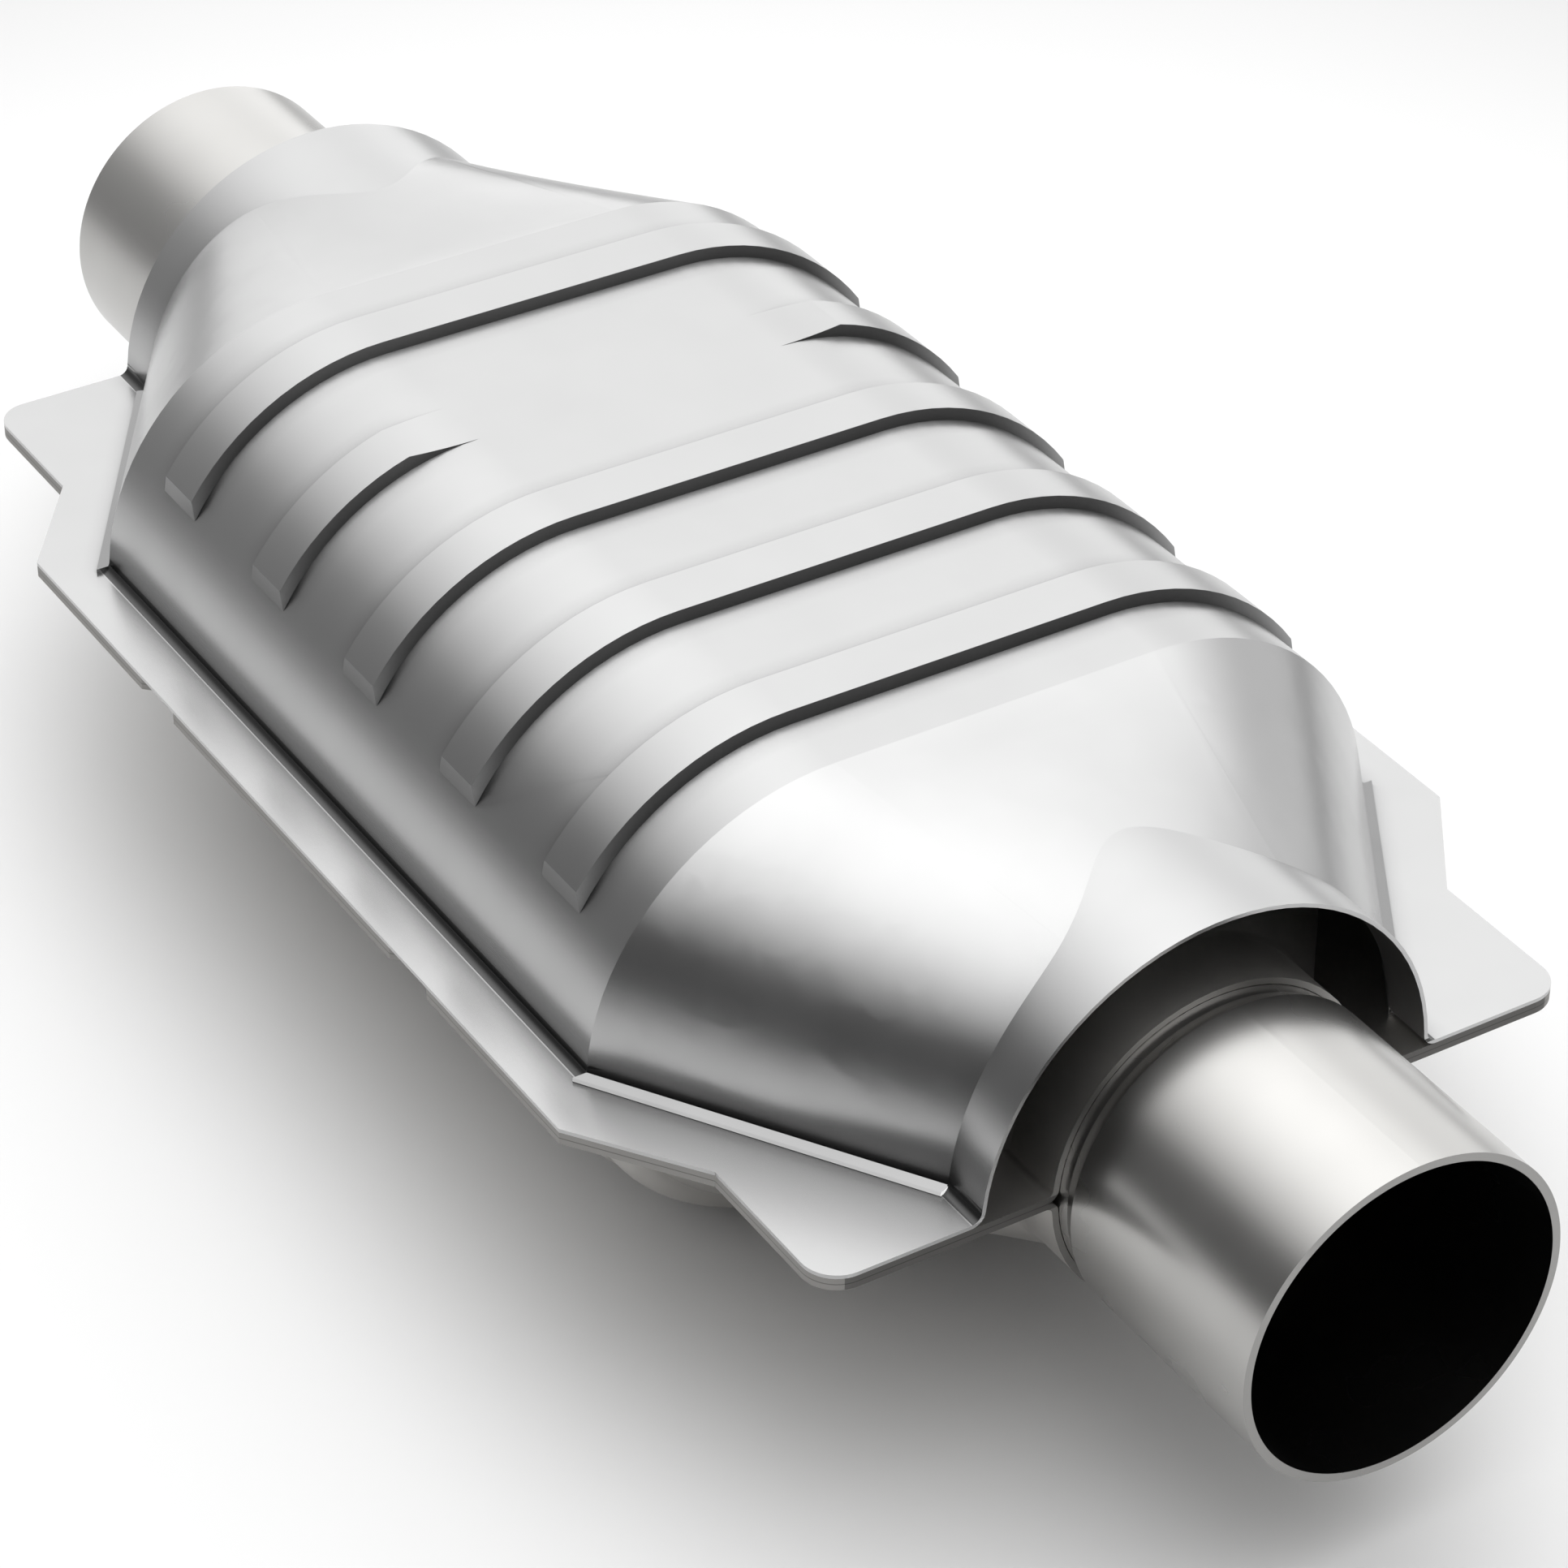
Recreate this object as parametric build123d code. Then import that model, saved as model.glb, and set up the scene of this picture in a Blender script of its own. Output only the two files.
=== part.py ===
from build123d import *
import math
import os

# Catalytic converter with welded clamshell halves and a ribbed heat shield.
# Millimetres. X runs along the pipes, Y across, Z up. The pieces are drawn about
# the pipe axis, in the seam plane, and raised at the end to stand on Z = 0.

# Lengths along the pipe axis
body_length = 177.8
cone_length = 63.5
pipe_reach = 50.8

# Heat shield over the body: a flat top between two quarter rounds
shield_width = 156.8
shield_height = 47.0
shield_sheet = 0.71
shield_gap = 1.0

# Shield cone and the arch over each neck
arch_radius = 43.94
cone_tail_radius = 42.1
cone_tail_setback = 6.55
crown_angle = 27.0

# Stiffening ribs across the body
rib_count = 5
rib_pitch = 34.85
rib_rise = 1.95
rib_top = 10.35
rib_draft = 1.05
rib_end = 71.8
flat_rib = 1

# Seam flange
flange_rim = 10.5
long_edge_overrun = 9.3
tab_width = 146.2
tab_length = 32.0
tab_corner = 6.4
shield_bend = 2.0
ledge_width = 2.2
ledge_rise = 0.85

# Notches through both shell flanges
notch_spacing = 94.8
notch_width = 13.0
notch_depth = 4.5

# Pressed shells, nested under the shield with lower ribs
shell_sheet = 1.15
shell_bend = 1.2
shell_setback = 1.4
shell_rib_rise = 1.4
shoulder_radius = 4.5
neck_length = 13.6
neck_blend = 4.0

# Pipes
pipe_outside = 60.7
pipe_wall = 1.5
pipe_slip = 0.1
pipe_insert = 11.4
pipe_waist = 2.3
pipe_taper = 2.8

# Ceramic bricks, support mats and mesh end seals
mat_thickness = 4.0
mat_clearance = 0.3
brick_gap = 12.7
seal_width = 6.5
cell_pitch = 10.0
cell_wall = 1.8
cell_rim = 3.0

# Places that follow from the sizes above
body_end = body_length / 2
flange_end = body_end + cone_length
pipe_end = flange_end + pipe_reach
flat_half = shield_width / 2 - shield_height
shield_flange_top = shell_sheet + shield_sheet
shell_offset = shield_sheet + shield_gap
shell_radius = shield_height - shell_offset
shell_depth = shell_radius + shell_rib_rise
shell_end = body_end - shell_setback
neck_start = flange_end - neck_length
pipe_radius = pipe_outside / 2
cut_over = 1.0


def half_stadium(x, flat, radius):
    # Flat-topped half section standing on the seam plane at station x.
    edges = [
        Line((-flat - radius, 0), (flat + radius, 0)),
        CenterArc((flat, 0), radius, 0, 90),
        Line((flat, radius), (-flat, radius)),
        CenterArc((-flat, 0), radius, 90, 90),
    ]
    return Plane.YZ.offset(x) * make_face(edges)


def half_round(x, radius):
    # Half disc at station x, split where the flat top of the body runs out.
    side = 90 - crown_angle
    edges = [
        Line((-radius, 0), (radius, 0)),
        CenterArc((0, 0), radius, 0, side),
        CenterArc((0, 0), radius, side, 2 * crown_angle),
        CenterArc((0, 0), radius, side + 2 * crown_angle, side),
    ]
    return Plane.YZ.offset(x) * make_face(edges)


def both_ends(piece):
    # The piece at the inlet end and its mirror image at the outlet end.
    return piece + mirror(piece, about=Plane.YZ)


def both_sides(piece):
    return piece + mirror(piece, about=Plane.XZ)


def rib(centre, inset, rise, cut_flat):
    # One rib: a drafted bar over the flat top that turns down both quarter rounds.
    # The inset steps from the outside of the sheet to its inside, and on to the
    # pressings that nest below. A cut rib is level with the flat top in its middle.
    draft_angle = math.degrees(math.atan2(rib_draft, rib_rise))
    narrowing = inset * math.tan(math.radians((90 - draft_angle) / 2))
    base = shield_height - inset
    top_half = rib_top / 2 - narrowing
    base_half = top_half + rib_draft * rise / rib_rise
    root = base - 2 * shell_sheet
    corners = [
        (centre - base_half, root),
        (centre - base_half, base),
        (centre - top_half, base + rise),
        (centre + top_half, base + rise),
        (centre + base_half, base),
        (centre + base_half, root),
    ]
    section = Plane.XZ * make_face(Polyline(*corners, close=True))
    bar = extrude(section, amount=flat_half, both=True)
    turn = Pos(0, -flat_half, 0) * section
    turn = revolve(turn, axis=Axis((0, -flat_half, 0), (1, 0, 0)), revolution_arc=90)
    whole = bar + both_sides(turn)
    width = 2 * (rib_end - inset)
    height = base if cut_flat else base + 2 * rise
    limit = Box(2 * rib_pitch, width, height, align=(Align.CENTER, Align.CENTER, Align.MIN))
    return whole & (Pos(centre, 0, 0) * limit)


def ribs(inset, rise, has_flat):
    pieces = []
    for index in range(rib_count):
        centre = (index - (rib_count - 1) / 2) * rib_pitch
        pieces.append(rib(centre, inset, rise, has_flat and index == flat_rib))
    return pieces


def foot_bend(start, end, wall_radius, offset, bend, level):
    # Concave strip in the corner between an upright wall and the flange face at
    # the given level. The wall is round about the line at the given offset.
    centre_z = level + bend
    wall = offset + math.sqrt(wall_radius ** 2 - centre_z ** 2)
    inside = wall - bend
    edges = [
        Line((inside, level), (wall + bend, level)),
        CenterArc((wall + bend, centre_z), bend, 180, 90),
        Line((wall, centre_z), (inside, centre_z)),
        Line((inside, centre_z), (inside, level)),
    ]
    section = Plane.YZ.offset(start) * make_face(edges)
    return both_sides(extrude(section, amount=end - start))


def flange_outline():
    # Plan of the seam flange: long sides, slanted shoulders and end tabs.
    long_x = body_end + long_edge_overrun
    tab_x = flange_end - tab_length
    half = shield_width / 2 + flange_rim
    tab = tab_width / 2
    quarter = [(long_x, half), (tab_x, tab), (flange_end, tab)]
    points = quarter
    points = points + [(x, -y) for x, y in reversed(quarter)]
    points = points + [(-x, -y) for x, y in quarter]
    points = points + [(-x, y) for x, y in reversed(quarter)]
    plan = make_face(Polyline(*points, close=True))
    ends = plan.vertices().filter_by(lambda v: abs(v.X) > flange_end - 0.001)
    return fillet(ends, tab_corner)


def flange_plate(bottom, thickness):
    return Pos(0, 0, bottom) * extrude(flange_outline(), amount=thickness)


def flange_notches():
    # Tapered notches in the long edges, narrower towards the body.
    edge = shield_width / 2 + flange_rim
    outer = notch_width / 2
    inner = outer - notch_depth
    cutters = []
    for side in (-1, 1):
        for end in (-1, 1):
            x = end * notch_spacing / 2
            corners = [
                (x - outer, side * (edge + cut_over)),
                (x - outer, side * edge),
                (x - inner, side * (edge - notch_depth)),
                (x + inner, side * (edge - notch_depth)),
                (x + outer, side * edge),
                (x + outer, side * (edge + cut_over)),
            ]
            plan = make_face(Polyline(*corners, close=True))
            cutters.append(extrude(plan, amount=shell_sheet))
    return cutters


def cone_foot():
    # The straight foot line of the shield cone on the flange: its Y at the body,
    # its Y at the neck, its slope, and the station where it meets the neck.
    body_y = flat_half + math.sqrt(shield_height ** 2 - shield_flange_top ** 2)
    neck_y = math.sqrt(arch_radius ** 2 - shield_flange_top ** 2)
    slope = (body_y - cone_tail_radius) / (cone_length - cone_tail_setback)
    return body_y, neck_y, slope, body_end + (body_y - neck_y) / slope


def shield_ledge(inset, top):
    # Narrow raised strip along the foot of each shield cone.
    body_y, neck_y, slope, neck_x = cone_foot()
    outer_y = body_y + (ledge_width - inset) * math.hypot(1, slope)
    end_y = neck_y + shield_bend - inset
    start_x = body_end + inset
    corners = [
        (start_x, neck_y),
        (start_x, outer_y - slope * inset),
        (body_end + (outer_y - end_y) / slope, end_y),
        (neck_x - inset, neck_y - shield_sheet),
    ]
    plan = make_face(Polyline(*corners, close=True))
    return both_ends(both_sides(extrude(plan, amount=top)))


def shield_form(inset, level, bend, neck_end):
    # Outside of the shield for a zero inset, its inside for one sheet's inset.
    radius = shield_height - inset
    body = extrude(half_stadium(-body_end, flat_half, radius), amount=body_length)
    tail = half_round(flange_end - cone_tail_setback, cone_tail_radius - inset)
    cone = loft([half_stadium(body_end, flat_half, radius), tail], ruled=True)
    neck_root = body_end + (flange_end - body_end) / 4
    arch = extrude(half_round(neck_root, arch_radius - inset), amount=neck_end - neck_root)
    form = body + both_ends(cone) + both_ends(arch)
    form = form + ribs(inset, rib_rise, True)
    form = form + shield_ledge(inset, shield_flange_top + ledge_rise - inset)
    form = form + foot_bend(-body_end, body_end, radius, flat_half, bend, level)
    foot_start = cone_foot()[3]
    return form + both_ends(foot_bend(foot_start, neck_end, arch_radius - inset, 0, bend, level))


def heat_shield():
    outside = shield_form(0, shield_flange_top, shield_bend, flange_end)
    inside = shield_form(shield_sheet, shell_sheet, shield_bend + shield_sheet,
                         flange_end + cut_over)
    above = Box(2 * pipe_end, 2 * shield_width, shell_sheet,
                align=(Align.CENTER, Align.CENTER, Align.MIN))
    sheet = flange_plate(shell_sheet, shield_sheet) + (outside - above)
    return sheet - inside


def shell_form(inset, level, bend, has_flat, neck_end):
    # One half of the pressure body: the ribbed middle with rounded shoulders,
    # the two cones and the two half necks.
    radius = shell_radius - inset
    round_off = shoulder_radius - inset
    half = shell_end - inset
    body = extrude(half_stadium(-half, flat_half, radius), amount=2 * half)
    rims = body.edges().filter_by(lambda e: abs(abs(e.center().X) - half) < 0.001
                                  and e.center().Z > 0.001)
    body = fillet(rims, round_off)
    start = half_stadium(half, flat_half, radius - round_off - inset)
    tail = half_round(neck_start, pipe_radius - inset)
    cone = loft([start, tail], ruled=True)
    neck = extrude(half_round(neck_start, pipe_radius - inset), amount=neck_end - neck_start)
    end = cone + neck
    crease = end.edges().filter_by(lambda e: abs(e.center().X - neck_start) < 0.001
                                   and e.center().Z > 0.001)
    end = fillet(crease, neck_blend + inset)
    form = body + both_ends(end)
    form = form + ribs(shell_offset + inset, shell_rib_rise, has_flat)
    straight = half - round_off
    form = form + foot_bend(-straight, straight, radius, flat_half, bend, level)
    return form + both_ends(foot_bend(neck_start, neck_end, pipe_radius - inset, 0, bend, level))


def half_shell(has_flat):
    outside = shell_form(0, shell_sheet, shell_bend, has_flat, flange_end)
    inside = shell_form(shell_sheet, 0, shell_bend + shell_sheet, has_flat,
                        flange_end + cut_over)
    return flange_plate(0, shell_sheet) + outside - inside - flange_notches()


def pipe():
    # Straight tube that necks down and slips into the round of the shells.
    waist = pipe_radius - shell_sheet - pipe_slip
    waist_end = flange_end + pipe_waist
    full = waist_end + pipe_taper
    root = flange_end - pipe_insert
    corners = [
        (root, waist),
        (waist_end, waist),
        (full, pipe_radius),
        (pipe_end, pipe_radius),
        (pipe_end, pipe_radius - pipe_wall),
        (full, pipe_radius - pipe_wall),
        (waist_end, waist - pipe_wall),
        (root, waist - pipe_wall),
    ]
    section = Plane.XZ * make_face(Polyline(*corners, close=True))
    return revolve(section, axis=Axis.X)


def racetrack(radius):
    # Plan across the pipe axis of everything that fills the body.
    return SlotCenterToCenter(2 * flat_half, 2 * radius)


def filling_sizes():
    # Radii of the brick and the mat, from the inside of the shells.
    mat_outer = shell_radius - shell_sheet - mat_clearance
    mat_inner = mat_outer - mat_thickness
    return mat_inner - mat_clearance, mat_inner, mat_outer


def brick_length():
    # The bricks end where the shoulders of the shells begin.
    return shell_end - shoulder_radius - brick_gap / 2


def brick():
    # Ceramic monolith with square channels from face to face.
    radius = filling_sizes()[0]
    section = racetrack(radius)
    opening = cell_pitch - cell_wall
    columns = math.ceil((flat_half + radius) / cell_pitch)
    rows = math.ceil(radius / cell_pitch)
    cells = []
    for column in range(-columns, columns + 1):
        for row in range(-rows, rows + 1):
            y = column * cell_pitch
            z = row * cell_pitch
            reach = max(0, abs(y) + opening / 2 - flat_half)
            if math.hypot(reach, abs(z) + opening / 2) < radius - cell_rim:
                cells.append(Pos(y, z) * Rectangle(opening, opening))
    section = section - cells
    return extrude(Plane.YZ * section, amount=brick_length() / 2, both=True)


def ring(length):
    # Racetrack ring between a brick and the shells.
    inner, outer = filling_sizes()[1:]
    section = racetrack(outer) - racetrack(inner)
    return extrude(Plane.YZ * section, amount=length / 2, both=True)


def filled_body():
    # Two bricks in line, each in its mat with a mesh seal at either end.
    middle = (brick_gap + brick_length()) / 2
    seal_place = (brick_length() - seal_width) / 2
    mat_length = brick_length() - 2 * seal_width - 2 * mat_clearance
    pieces = {}
    for name, side in (("inlet", 1), ("outlet", -1)):
        pieces[name + "_brick"] = Pos(side * middle, 0, 0) * brick()
        pieces[name + "_mat"] = Pos(side * middle, 0, 0) * ring(mat_length)
        outer_place = side * (middle + seal_place)
        inner_place = side * (middle - seal_place)
        pieces[name + "_outer_seal"] = Pos(outer_place, 0, 0) * ring(seal_width)
        pieces[name + "_inner_seal"] = Pos(inner_place, 0, 0) * ring(seal_width)
    return pieces


def converter():
    pieces = {
        "heat_shield": heat_shield(),
        "upper_shell": half_shell(True),
        "lower_shell": mirror(half_shell(False), about=Plane.XY),
        "inlet_pipe": pipe(),
        "outlet_pipe": mirror(pipe(), about=Plane.YZ),
    }
    pieces.update(filled_body())
    return pieces


os.makedirs("parts", exist_ok=True)
for node, piece in converter().items():
    export_step(Pos(0, 0, shell_depth) * piece, "parts/" + node + ".step")
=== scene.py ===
import bmesh
import bpy
import math
from mathutils import Matrix, Vector


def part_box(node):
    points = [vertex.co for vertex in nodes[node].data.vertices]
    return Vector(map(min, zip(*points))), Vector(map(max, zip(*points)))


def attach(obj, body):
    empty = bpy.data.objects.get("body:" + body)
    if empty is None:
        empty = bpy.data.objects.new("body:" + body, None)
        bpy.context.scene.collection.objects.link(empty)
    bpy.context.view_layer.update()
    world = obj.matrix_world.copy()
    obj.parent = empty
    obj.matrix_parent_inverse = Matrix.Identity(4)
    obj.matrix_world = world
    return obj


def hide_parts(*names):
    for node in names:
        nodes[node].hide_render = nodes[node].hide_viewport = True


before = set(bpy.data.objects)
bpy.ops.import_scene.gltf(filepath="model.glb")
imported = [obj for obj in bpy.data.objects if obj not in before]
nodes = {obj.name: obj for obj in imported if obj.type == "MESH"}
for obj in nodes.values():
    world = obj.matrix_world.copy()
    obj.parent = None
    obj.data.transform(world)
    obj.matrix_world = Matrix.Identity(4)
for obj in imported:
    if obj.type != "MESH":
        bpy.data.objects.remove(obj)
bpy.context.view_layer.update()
scene = bpy.context.scene
scene.view_settings.view_transform = "Standard"


def linear(colour):  # an sRGB hex colour in the linear values that sockets take
    parts = [int(colour[place:place + 2], 16) / 255 for place in (1, 3, 5)]
    return [p / 12.92 if p <= 0.04045 else ((p + 0.055) / 1.055) ** 2.4 for p in parts] + [1.0]


def addNode(tree, kind, settings):
    # A setting is a property of the node or a value of one of its inputs. A socket is linked to
    # the input instead, and a node stands for its first output in use.
    node = tree.nodes.new("ShaderNode" + kind)
    for name, value in settings.items():
        if isinstance(value, bpy.types.Node):
            value = next(output for output in value.outputs if output.enabled)
        if isinstance(value, bpy.types.NodeSocket):
            tree.links.new(value, node.inputs[name])
        elif isinstance(name, int) or name in node.inputs:
            node.inputs[name].default_value = value
        else:
            setattr(node, name, value)
    return node


def newMaterial(name):
    material = bpy.data.materials.new(name)
    material.use_nodes = True
    material.node_tree.nodes.clear()
    return material, material.node_tree


def makeObject(name, mesh, material):
    piece = bpy.data.objects.new(name, mesh)
    scene.collection.objects.link(piece)
    mesh.materials.append(material)
    return piece


camera = {
    "place": (0.6446, -0.3930, 0.5559),
    "right": (0.5174, 0.8558, 0.0),
    "up": (-0.4920, 0.2975, 0.8183),
    "lens": 115.2,
    "sensor": 36,
    "shift": (0.0542, -0.0026),
    "clip": (0.01, 50),
}
cameraData = bpy.data.cameras.new("camera")
cameraData.sensor_width = camera["sensor"]
cameraData.lens = camera["lens"]
cameraData.shift_x, cameraData.shift_y = camera["shift"]
cameraData.clip_start, cameraData.clip_end = camera["clip"]
cameraObject = bpy.data.objects.new("camera", cameraData)
scene.collection.objects.link(cameraObject)
right = Vector(camera["right"]).normalized()
up = Vector(camera["up"]).normalized()
turn = Matrix((right, up, right.cross(up))).transposed()
cameraObject.matrix_world = Matrix.Translation(camera["place"]) @ turn.to_4x4()
scene.camera = cameraObject
print("camera placed")


studio = {
    "floorColour": "#E9E9E9",
    "floorFar": "#A0A0A0",
    "fade": (0.24, 0.80),            # distances where the far colour begins and where it is full
    "floorSilver": 0.65,
    "floorRoughness": 0.75,
    "floorRadius": 6.0,
    "floorCuts": 64,
    "floorDrop": 0.0001,             # a hair below the object, so no faces share a plane
    "room": 0.09,                    # strength of the dim room all round
    "overhead": 2.15,                # strength of the soft dome straight above
    "overheadFrom": 0.42,            # height at which the dome begins, where straight up is 1
    "wall": 1.6,                     # strength of the white wall behind the object
    "wallSide": (-0.866, 0.5, 0.0),  # direction of the wall
    "wallFocus": 2.0,                # how fast the wall dims to its sides
}


def makeFloor():
    # Satin silver-white board: it sends the white wall on to the camera and the dim room on to the
    # object's sides. Its colour is a painted pool of light, pale near the object and grey further out.
    material, tree = newMaterial("satinSilverBoard")
    place = addNode(tree, "TexCoord", {}).outputs["Object"]
    distance = addNode(tree, "VectorMath", {"operation": "LENGTH", 0: place})
    fade = addNode(tree, "MapRange", {
        "interpolation_type": "SMOOTHSTEP", "Value": distance,
        "From Min": studio["fade"][0], "From Max": studio["fade"][1]})
    paintedPoolColour = addNode(tree, "Mix", {
        "data_type": "RGBA", "Factor": fade,
        "A": linear(studio["floorColour"]), "B": linear(studio["floorFar"])})
    shader = addNode(tree, "BsdfPrincipled", {
        "Base Color": paintedPoolColour, "Metallic": studio["floorSilver"], "Roughness": studio["floorRoughness"]})
    addNode(tree, "OutputMaterial", {"Surface": shader})
    mesh = bpy.data.meshes.new("floor")
    bm = bmesh.new()
    bmesh.ops.create_circle(
        bm, cap_ends=True, segments=studio["floorCuts"], radius=studio["floorRadius"],
        matrix=Matrix.Translation((0, 0, -studio["floorDrop"])))
    bm.to_mesh(mesh)
    bm.free()
    makeObject("floor", mesh, material)


def makeDome():
    # Soft studio dome: bright overhead, a white wall behind the object, dim towards the camera.
    world = bpy.data.worlds.new("studioDome")
    world.use_nodes = True
    tree = world.node_tree
    tree.nodes.clear()
    direction = addNode(tree, "TexCoord", {}).outputs["Generated"]
    height = addNode(tree, "SeparateXYZ", {0: direction}).outputs["Z"]
    above = addNode(tree, "MapRange", {
        "Value": height, "From Min": studio["overheadFrom"], "To Max": studio["overhead"]})
    behind = addNode(tree, "VectorMath", {
        "operation": "DOT_PRODUCT", 0: direction, 1: studio["wallSide"]})
    facing = addNode(tree, "Math", {"operation": "MAXIMUM", 0: behind, 1: 0.0})
    focused = addNode(tree, "Math", {"operation": "POWER", 0: facing, 1: studio["wallFocus"]})
    around = addNode(tree, "Math", {
        "operation": "MULTIPLY_ADD", 0: focused, 1: studio["wall"], 2: studio["room"]})
    strength = addNode(tree, "Math", {"operation": "ADD", 0: above, 1: around})
    sky = addNode(tree, "Background", {"Color": (1, 1, 1, 1), "Strength": strength})
    addNode(tree, "OutputWorld", {"Surface": sky})
    scene.world = world


makeFloor()
makeDome()
print("floor and dome made")


axisHeight = (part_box("inlet_pipe")[0].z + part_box("inlet_pipe")[1].z) / 2
body = {
    "flat": 0.0314,                      # half width of the flat between the rounds
    "shieldStraight": 0.0889,            # half length of the shield's straight part
    "shellStraight": 0.0830,             # half length of the shells' straight part
    "ribEnd": 0.0718,                    # where the ribs stop on the sides
    "ribEndHalf": 0.0002,
    "flangeTop": axisHeight + 0.00191,
    "ledgeMiddle": axisHeight + 0.00235,
    "ledgeHalf": 0.0004,                 # half height of the strip along each cone's foot
    "footTop": axisHeight + 0.0042,      # top of the bend at the shield's foot
    "neckEnd": 0.1520,                   # the necks' rims lie beyond this
}
limits = {  # parts of a face's normal that tell which kind of face it is
    "rounded": 0.94,        # least along the racetrack's own normal for a face shaded as part of it
    "level": 0.995,         # least upwards for a level face
    "bend": (0.55, 0.445),  # middle and half range upwards for the bend at the foot
    "sideways": 0.97,       # least sideways for a rib's end
    "lengthways": 0.95,     # least along the pipe for a rib's wall or a pipe's sawn end
    "rim": 0.9,             # least along the pipe for a neck's rim
    "edge": 0.3,            # most upwards for a sheared edge
    "upright": 0.02,        # most upwards for an upright face
}


def unsignedAxes(tree, vector):
    unsigned = addNode(tree, "VectorMath", {"operation": "ABSOLUTE", 0: vector})
    return addNode(tree, "SeparateXYZ", {0: unsigned}).outputs


def startMetal(name):
    # Where a point is, its surface, and how far that surface faces along each axis, either way.
    material, tree = newMaterial(name)
    place = addNode(tree, "TexCoord", {}).outputs["Object"]
    axes = addNode(tree, "SeparateXYZ", {0: place}).outputs
    surface = addNode(tree, "NewGeometry", {}).outputs
    tilt = unsignedAxes(tree, surface["True Normal"])
    return material, tree, place, axes, surface, tilt


def maskWhere(tree, *tests):
    # One where every test holds and zero elsewhere. A test is a socket, an operation and numbers.
    mask = None
    for source, operation, *numbers in tests:
        settings = {"operation": operation, 0: source}
        settings.update(enumerate(numbers, 1))
        test = addNode(tree, "Math", settings)
        if mask is None:
            mask = test
        else:
            mask = addNode(tree, "Math", {"operation": "MULTIPLY", 0: mask, 1: test})
    return mask


def awayFromCore(tree, axes):
    # The pressed body is a racetrack, so outwards is straight away from its flat core's nearest line.
    leftmost = addNode(tree, "Math", {"operation": "MAXIMUM", 0: axes["Y"], 1: -body["flat"]})
    core = addNode(tree, "Math", {"operation": "MINIMUM", 0: leftmost, 1: body["flat"]})
    across = addNode(tree, "Math", {"operation": "SUBTRACT", 0: axes["Y"], 1: core})
    rise = addNode(tree, "Math", {"operation": "SUBTRACT", 0: axes["Z"], 1: axisHeight})
    away = addNode(tree, "CombineXYZ", {"Y": across, "Z": rise})
    return addNode(tree, "VectorMath", {"operation": "NORMALIZE", 0: away})


def roundedNormal(tree, axes, reach, surface, halfLength):
    # Keeps reflections even along the mesh's long facets. The ribs' walls and ends and the cones
    # keep their own normals.
    away = awayFromCore(tree, axes)
    alike = [addNode(tree, "VectorMath", {"operation": "DOT_PRODUCT", 0: away, 1: surface[normal]})
             for normal in ("True Normal", "Normal")]
    closest = addNode(tree, "Math", {"operation": "MAXIMUM", 0: alike[0], 1: alike[1]})
    onBody = maskWhere(tree, (closest, "GREATER_THAN", limits["rounded"]),
                       (reach["X"], "LESS_THAN", halfLength))
    return addNode(tree, "Mix", {
        "data_type": "VECTOR", "Factor": onBody, "A": surface["Normal"], "B": away})


def darken(tree, colour, places):
    # Each place is a mask and the share of the colour that is left in it.
    for mask, share in places:
        colour = addNode(tree, "Mix", {
            "data_type": "RGBA", "blend_type": "MULTIPLY", "Factor": mask,
            "A": colour, "B": (share, share, share, 1)})
    return colour


metalPattern = {
    "cloudScale": 60.0,       # faint clouds 17 mm wide
    "cloudRange": (0.3, 0.7),
    "waveScale": 30.0,        # slight unevenness 33 mm wide
}


def metalSurface(tree, place, look):
    # Colour, roughness, grain and unevenness of the three metals. The grain is about 0.1 mm wide
    # on real sheet and is drawn 0.8 mm wide, or 1 mm on the pipes, so that it can show.
    scaled = addNode(tree, "Mapping", {"Scale": look["grainScale"], "Vector": place})
    grain = addNode(tree, "TexNoise", {"Scale": 1.0, "Detail": 0.0, "Vector": scaled})
    cloud = addNode(tree, "TexNoise", {
        "Scale": metalPattern["cloudScale"], "Detail": 2.0, "Vector": place})
    wave = addNode(tree, "TexNoise", {
        "Scale": metalPattern["waveScale"], "Detail": 0.0, "Vector": place})
    colour = addNode(tree, "Mix", {
        "data_type": "RGBA", "Factor": cloud, "A": linear(look["colour"]), "B": linear(look["shade"])})
    roughness = addNode(tree, "MapRange", {
        "Value": cloud,
        "From Min": metalPattern["cloudRange"][0], "From Max": metalPattern["cloudRange"][1],
        "To Min": look["roughness"][0], "To Max": look["roughness"][1]})
    return colour, roughness, grain, wave


def finishMetal(tree, look, colour, roughness, grain, wave, normal=None):
    uneven = {"Distance": look["waveHeight"], "Height": wave}
    if normal is not None:
        uneven["Normal"] = normal
    waveBump = addNode(tree, "Bump", uneven)
    grainBump = addNode(tree, "Bump", {
        "Distance": look["grainHeight"], "Height": grain, "Normal": waveBump})
    shader = addNode(tree, "BsdfPrincipled", {
        "Metallic": 1.0, "Base Color": colour, "Roughness": roughness, "Normal": grainBump})
    addNode(tree, "OutputMaterial", {"Surface": shader})
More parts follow.
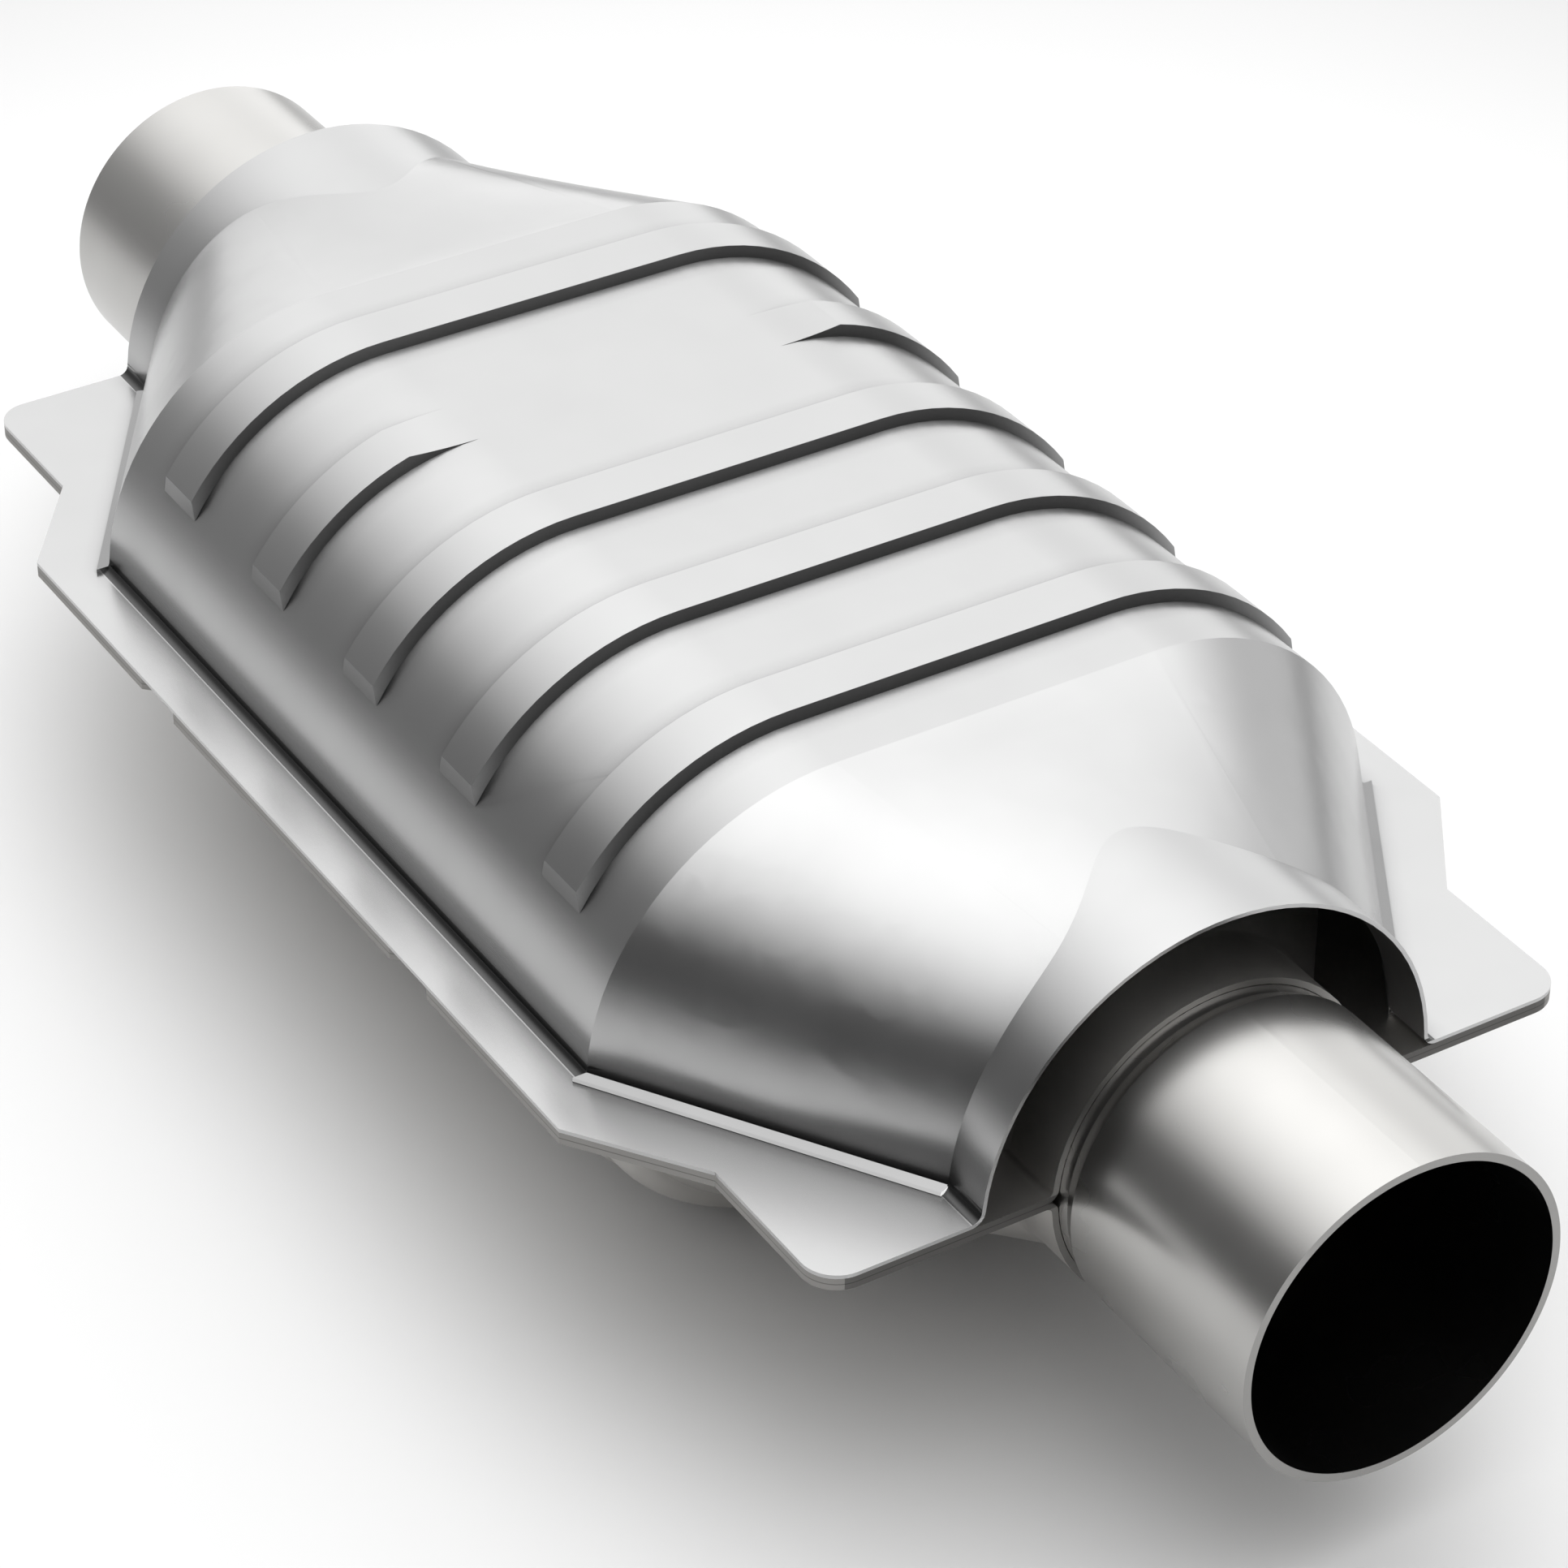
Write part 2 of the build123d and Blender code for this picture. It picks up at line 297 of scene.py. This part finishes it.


# A tone is a share of the metal's own colour. The shield's tones by place are painted light and
# shade. All tones by place were matched to the photo and say nothing of how the real surface was made.
shieldLook = {
    "colour": "#B8B8B8",
    "shade": "#B3B3B3",
    "roughness": (0.24, 0.27),
    "grainScale": (60, 1200, 1200),
    "grainHeight": 0.0000003,
    "waveHeight": 0.000012,
    # Painted shade in the inside corners, from an occlusion lookup:
    "cornerReach": 0.006,           # how far from an inside corner its darker band goes
    "cornerRays": 8,
    "cornerOpen": (0.66, 0.95),     # openness where the band is darkest and where it ends
    "cornerPaintedShade": 0.2,
    "flangeShadeShare": 0.35,            # how much of the band the flange shows
    "wallPaintedLight": 1.1,                # the ribs' walls
    "ribEndPaintedShade": 0.35,
    "bendPaintedShade": 0.18,               # the bend at the foot
    "ledgePaintedTone": 0.72,              # the strip along each cone's foot
    "insidePaintedTone": 1.65,             # the inside, seen under the arch
    "insideLimit": -0.01,           # a face that points less outwards than this is the inside
    "ledgeLean": (0.2, 0.45, 0.87),
}


def rolledSheet():
    # Aluminised steel, cold rolled and pressed: a clean, even satin with soft, bright reflections.
    look = shieldLook
    material, tree, place, axes, surface, tilt = startMetal("rolledAluminisedSteel")
    reach = unsignedAxes(tree, place)
    facing = addNode(tree, "SeparateXYZ", {0: surface["True Normal"]}).outputs
    colour, roughness, grain, wave = metalSurface(tree, place, look)
    # Painted shade: inside corners get a darker band a few millimetres wide, weaker on the flange.
    openness = addNode(tree, "AmbientOcclusion", {
        "samples": look["cornerRays"], "Distance": look["cornerReach"]}).outputs["AO"]
    cornerShade = addNode(tree, "MapRange", {
        "Value": openness, "From Min": look["cornerOpen"][0], "From Max": look["cornerOpen"][1],
        "To Min": look["cornerPaintedShade"]})
    flangeCornerShade = addNode(tree, "Math", {
        "operation": "MULTIPLY_ADD", 0: cornerShade, 1: look["flangeShadeShare"], 2: 1 - look["flangeShadeShare"]})
    flange = maskWhere(tree, (axes["Z"], "LESS_THAN", body["flangeTop"]),
                       (facing["Z"], "GREATER_THAN", limits["level"]))
    tone = addNode(tree, "Mix", {"Factor": flange, "A": cornerShade, "B": flangeCornerShade})
    # Painted light: the ribs' walls are lighter than the metal's own colour and show no corner shade.
    wall = addNode(tree, "Math", {
        "operation": "GREATER_THAN", 0: tilt["X"], 1: limits["lengthways"]})
    # Painted shade: the rib ends are darker.
    ribEnd = maskWhere(tree, (reach["Y"], "COMPARE", body["ribEnd"], body["ribEndHalf"]),
                       (tilt["Y"], "GREATER_THAN", limits["sideways"]))
    # Painted shade: the bend at the foot is darker.
    bend = maskWhere(tree, (axes["Z"], "LESS_THAN", body["footTop"]),
                     (facing["Z"], "COMPARE", *limits["bend"]))
    # Painted light: the strip along each cone's foot keeps a set tone, lighter than the corner shade
    # around it.
    # The strip has a level top and an upright edge.
    strip = maskWhere(tree, (reach["X"], "GREATER_THAN", body["shieldStraight"]),
                      (axes["Z"], "COMPARE", body["ledgeMiddle"], body["ledgeHalf"]))
    level = addNode(tree, "Math", {"operation": "GREATER_THAN", 0: facing["Z"], 1: limits["level"]})
    upright = addNode(tree, "Math", {"operation": "LESS_THAN", 0: tilt["Z"], 1: limits["upright"]})
    square = addNode(tree, "Math", {"operation": "ADD", 0: level, 1: upright})
    ledge = addNode(tree, "Math", {"operation": "MULTIPLY", 0: strip, 1: square})
    # Painted light: the inside, seen under the arch, is much lighter than the metal's own colour.
    outwards = addNode(tree, "VectorMath", {
        "operation": "DOT_PRODUCT", 0: awayFromCore(tree, axes), 1: surface["True Normal"]})
    inside = addNode(tree, "Math", {"operation": "LESS_THAN", 0: outwards, 1: look["insideLimit"]})
    for mask, share in ((wall, "wallPaintedLight"), (ribEnd, "ribEndPaintedShade"), (bend, "bendPaintedShade"),
                        (ledge, "ledgePaintedTone"), (inside, "insidePaintedTone")):
        tone = addNode(tree, "Mix", {"Factor": mask, "A": tone, "B": look[share]})
    # The painted light and shade above multiply the metal's colour.
    colour = addNode(tree, "Mix", {
        "data_type": "RGBA", "blend_type": "MULTIPLY", "Factor": 1.0, "A": colour, "B": tone})
    # The strip is square in the mesh and looks rounded over in the photo, so it is shaded as
    # leaning outwards all along.
    lean = {"Z": look["ledgeLean"][2]}
    for axis, share in zip("XY", look["ledgeLean"]):
        sign = addNode(tree, "Math", {"operation": "SIGN", 0: axes[axis]})
        lean[axis] = addNode(tree, "Math", {"operation": "MULTIPLY", 0: sign, 1: share})
    normal = addNode(tree, "Mix", {
        "data_type": "VECTOR", "Factor": ledge,
        "A": roundedNormal(tree, axes, reach, surface, body["shieldStraight"]),
        "B": addNode(tree, "CombineXYZ", lean)})
    finishMetal(tree, look, colour, roughness, grain, wave, normal)
    return material


shellLook = {
    "colour": "#D2D0CD",
    "shade": "#CAC8C5",
    "roughness": (0.36, 0.42),
    "grainScale": (60, 1200, 1200),
    "grainHeight": 0.0000003,
    "waveHeight": 0.000012,
    "jointHalf": 0.0001,    # half height of the joint between the two sheets
    "jointTone": 0.6,
    "edgeHalf": 0.00125,    # half height of both sheared edges
    "edgeTone": 0.55,
    "edgeRoughness": 0.6,
    "rimTone": 0.5,
}


def pressedSheet():
    # Stainless sheet, pressed: a slightly warm, duller satin. The sheared edges are grey, and the
    # joint between the two sheets shows as a fine dark line.
    look = shellLook
    material, tree, place, axes, surface, tilt = startMetal("pressedStainlessSheet")
    reach = unsignedAxes(tree, place)
    colour, roughness, grain, wave = metalSurface(tree, place, look)
    joint, edge = [
        maskWhere(tree, (tilt["Z"], "LESS_THAN", limits["edge"]),
                  (axes["Z"], "COMPARE", axisHeight, look[half]))
        for half in ("jointHalf", "edgeHalf")]
    rim = maskWhere(tree, (reach["X"], "GREATER_THAN", body["neckEnd"]),
                    (tilt["X"], "GREATER_THAN", limits["rim"]))
    colour = darken(tree, colour, (
        (joint, look["jointTone"]), (edge, look["edgeTone"]), (rim, look["rimTone"])))
    roughness = addNode(tree, "Mix", {"Factor": edge, "A": roughness, "B": look["edgeRoughness"]})
    finishMetal(tree, look, colour, roughness, grain, wave,
                roundedNormal(tree, axes, reach, surface, body["shellStraight"]))
    return material


pipeLook = {
    "colour": "#BDBCBA",
    "shade": "#B7B6B4",
    "roughness": (0.25, 0.28),
    "grainScale": (60, 1000, 1000),
    "grainHeight": 0.0000002,
    "waveHeight": 0.000008,
    "insidePaintedTone": 0.3,
    "insideLimit": -0.001,
    "sawnTone": 0.7,
}


def drawnTube():
    # Stainless exhaust tube, drawn to size: a smoother satin than the shells', with painted shade in
    # the bore.
    look = pipeLook
    material, tree, place, axes, surface, tilt = startMetal("drawnStainlessTube")
    colour, roughness, grain, wave = metalSurface(tree, place, look)
    rise = addNode(tree, "Math", {"operation": "SUBTRACT", 0: axes["Z"], 1: axisHeight})
    spoke = addNode(tree, "CombineXYZ", {"Y": axes["Y"], "Z": rise})
    outwards = addNode(tree, "VectorMath", {
        "operation": "DOT_PRODUCT", 0: spoke, 1: surface["True Normal"]})
    inside = addNode(tree, "Math", {"operation": "LESS_THAN", 0: outwards, 1: look["insideLimit"]})
    sawn = addNode(tree, "Math", {
        "operation": "GREATER_THAN", 0: tilt["X"], 1: limits["lengthways"]})
    # Painted shade darkens the bore; the sawn ends are darker too.
    colour = darken(tree, colour, ((inside, look["insidePaintedTone"]), (sawn, look["sawnTone"])))
    finishMetal(tree, look, colour, roughness, grain, wave)
    return material


def dress(node, material):
    for place in range(len(nodes[node].material_slots)):
        nodes[node].material_slots[place].material = material
    if not nodes[node].material_slots:
        nodes[node].data.materials.append(material)


shieldSteel = rolledSheet()
shellSteel = pressedSheet()
pipeSteel = drawnTube()
dress("heat_shield", shieldSteel)
dress("upper_shell", shellSteel)
dress("lower_shell", shellSteel)
dress("inlet_pipe", pipeSteel)
dress("outlet_pipe", pipeSteel)
print("metals made")


def finishInner(tree, look, tone, height):
    bump = addNode(tree, "Bump", {
        "Strength": look["bump"], "Distance": look["height"], "Height": height})
    shader = addNode(tree, "BsdfPrincipled", {
        **look["shader"], "Base Color": tone, "Normal": bump})
    addNode(tree, "OutputMaterial", {"Surface": shader})


matLook = {
    "colours": ("#E4DED0", "#A88F5E"),
    "fibreScale": 900.0,           # real fibres are about 0.005 mm thick and are drawn 1.1 mm wide
    "fleckScale": 420.0,           # flecks 2.4 mm apart
    "fleckRange": (0.14, 0.20),
    "bump": 0.6,
    "height": 0.0002,
    "shader": {"Roughness": 0.95, "Sheen Weight": 0.2},
}


def fibreMat():
    # Mineral felt pressed from short fibres: pale, matt and a little fuzzy, with brown flecks.
    material, tree = newMaterial("pressedMineralFelt")
    place = addNode(tree, "TexCoord", {}).outputs["Object"]
    fibre = addNode(tree, "TexNoise", {
        "Scale": matLook["fibreScale"], "Detail": 5.0, "Distortion": 1.2, "Vector": place})
    fleck = addNode(tree, "TexVoronoi", {"Scale": matLook["fleckScale"], "Vector": place})
    mask = addNode(tree, "MapRange", {
        "Value": fleck, "From Min": matLook["fleckRange"][0], "From Max": matLook["fleckRange"][1],
        "To Min": 1.0, "To Max": 0.0})
    pale, brown = [linear(colour) for colour in matLook["colours"]]
    tone = addNode(tree, "Mix", {"data_type": "RGBA", "Factor": mask, "A": pale, "B": brown})
    finishInner(tree, matLook, tone, fibre)
    return material


sealLook = {
    "colours": ("#4E4C49", "#BDBAB4"),
    "loopScale": 700.0,            # loops 1.4 mm wide
    "wire": 0.12,                  # real wire is about 0.2 mm thick and is drawn 0.3 mm wide
    "bump": 0.8,
    "height": 0.0003,
    "shader": {"Metallic": 1.0, "Roughness": 0.4},
}


def knittedWire():
    # Stainless wire, knitted and pressed to a ring: bright threads over dark gaps of painted shade.
    material, tree = newMaterial("knittedStainlessWire")
    place = addNode(tree, "TexCoord", {}).outputs["Object"]
    loops = addNode(tree, "TexVoronoi", {
        "feature": "DISTANCE_TO_EDGE", "Scale": sealLook["loopScale"], "Vector": place})
    wire = addNode(tree, "MapRange", {
        "Value": loops, "From Max": sealLook["wire"], "To Min": 1.0, "To Max": 0.0})
    paintedGapShade, thread = [linear(colour) for colour in sealLook["colours"]]
    tone = addNode(tree, "Mix", {"data_type": "RGBA", "Factor": wire, "A": paintedGapShade, "B": thread})
    finishInner(tree, sealLook, tone, wire)
    return material


brickLook = {
    "colours": ("#B59E83", "#9C866D"),
    "cloudScale": 120.0,           # clouds 8 mm wide
    "poreScale": 2500.0,           # real pores are about 0.02 mm wide and are drawn 0.4 mm wide
    "bump": 0.4,
    "height": 0.0001,
    "shader": {"Roughness": 0.85},
}


def washcoatCeramic():
    # Cordierite, extruded, fired and coated: matt, light brown and slightly cloudy.
    material, tree = newMaterial("extrudedCordierite")
    place = addNode(tree, "TexCoord", {}).outputs["Object"]
    cloud = addNode(tree, "TexNoise", {
        "Scale": brickLook["cloudScale"], "Detail": 3.0, "Vector": place})
    pores = addNode(tree, "TexNoise", {
        "Scale": brickLook["poreScale"], "Detail": 2.0, "Vector": place})
    light, dark = [linear(colour) for colour in brickLook["colours"]]
    tone = addNode(tree, "Mix", {"data_type": "RGBA", "Factor": cloud, "A": light, "B": dark})
    finishInner(tree, brickLook, tone, pores)
    return material


honeycomb = {
    "pitch": 0.0019,      # real cells are 1.27 mm apart, drawn wider to keep the mesh small
    "wall": 0.0004,
    "skin": 0.0012,       # outer wall of the brick
    "recess": 0.00005,    # the skin is this much shorter at each end, so no faces share a plane
    "roundCuts": 20,      # flats along each rounded side of the cells
    "skinCuts": 96,       # flats round the skin
    "snap": 0.0000001,    # a point this near to a cutting plane lies on it
}


def drawOut(bm, faces, length):
    drawn = bmesh.ops.extrude_face_region(bm, geom=faces, use_keep_orig=True)["geom"]
    moved = [part for part in drawn if isinstance(part, bmesh.types.BMVert)]
    bmesh.ops.translate(bm, vec=(0, 0, length), verts=moved)


def addCells(bm, radius, flat, length):
    # A grid of squares, each opened by an inset, cut to the racetrack and drawn out along the flow.
    pitch = honeycomb["pitch"]
    columns = math.ceil((flat + radius) / pitch) * 2
    rows = math.ceil(radius / pitch) * 2
    bmesh.ops.create_grid(bm, x_segments=columns, y_segments=rows, size=0.5)
    bmesh.ops.scale(bm, vec=(columns * pitch, rows * pitch, 1), verts=bm.verts)
    cells = bm.faces[:]
    bmesh.ops.inset_individual(bm, faces=cells, thickness=honeycomb["wall"] / 2, use_even_offset=True)
    bmesh.ops.delete(bm, geom=cells, context="FACES_ONLY")
    inside = radius - honeycomb["skin"] / 2
    for cut in range(honeycomb["roundCuts"] + 1):
        angle = math.pi * cut / honeycomb["roundCuts"] - math.pi / 2
        for side in (1, -1):
            outwards = Vector((side * math.cos(angle), math.sin(angle), 0))
            bmesh.ops.bisect_plane(bm, geom=bm.verts[:] + bm.edges[:] + bm.faces[:],
                                   dist=honeycomb["snap"], plane_no=outwards, clear_outer=True,
                                   plane_co=Vector((side * flat, 0, 0)) + outwards * inside)
    drawOut(bm, bm.faces[:], length)


def addSkin(bm, radius, flat, length):
    # A ring round the cells. The cap has only boundary edges, so the inset has to take those.
    halfStep = Matrix.Rotation(math.pi / honeycomb["skinCuts"], 4, "Z")
    skin = bmesh.ops.create_circle(
        bm, cap_ends=True, segments=honeycomb["skinCuts"], radius=radius,
        matrix=Matrix.Translation((0, 0, honeycomb["recess"])) @ halfStep)["verts"]
    for vert in skin:
        vert.co.x += flat if vert.co.x > 0 else -flat
    cap = skin[0].link_faces[0]
    ring = bmesh.ops.inset_region(bm, faces=[cap], thickness=honeycomb["skin"], use_boundary=True,
                                  use_even_offset=True)["faces"]
    bmesh.ops.delete(bm, geom=[cap], context="FACES_ONLY")
    drawOut(bm, ring, length - 2 * honeycomb["recess"])


def makeHoneycomb(node, material):
    low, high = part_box(node)
    centre = (low + high) / 2
    radius = (high.z - low.z) / 2
    flat = (high.y - low.y) / 2 - radius
    bm = bmesh.new()
    addCells(bm, radius, flat, high.x - low.x)
    addSkin(bm, radius, flat, high.x - low.x)
    bmesh.ops.recalc_face_normals(bm, faces=bm.faces)
    # The mesh was drawn flat, so it is stood up: its x to Y, its y to Z and its length to X.
    stand = Matrix(((0, 0, 1), (1, 0, 0), (0, 1, 0))).to_4x4()
    stood = Matrix.Translation((low.x, centre.y, centre.z)) @ stand
    bmesh.ops.transform(bm, matrix=stood, verts=bm.verts)
    mesh = bpy.data.meshes.new(node + "_cells")
    bm.to_mesh(mesh)
    bm.free()
    piece = makeObject(node + "_cells", mesh, material)
    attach(piece, "root")
    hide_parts(node)


feltMat = fibreMat()
wireSeal = knittedWire()
ceramic = washcoatCeramic()
for end in ("inlet", "outlet"):
    dress(end + "_mat", feltMat)
    dress(end + "_outer_seal", wireSeal)
    dress(end + "_inner_seal", wireSeal)
    dress(end + "_brick", ceramic)
    makeHoneycomb(end + "_brick", ceramic)
print("bricks, mats and seals made")
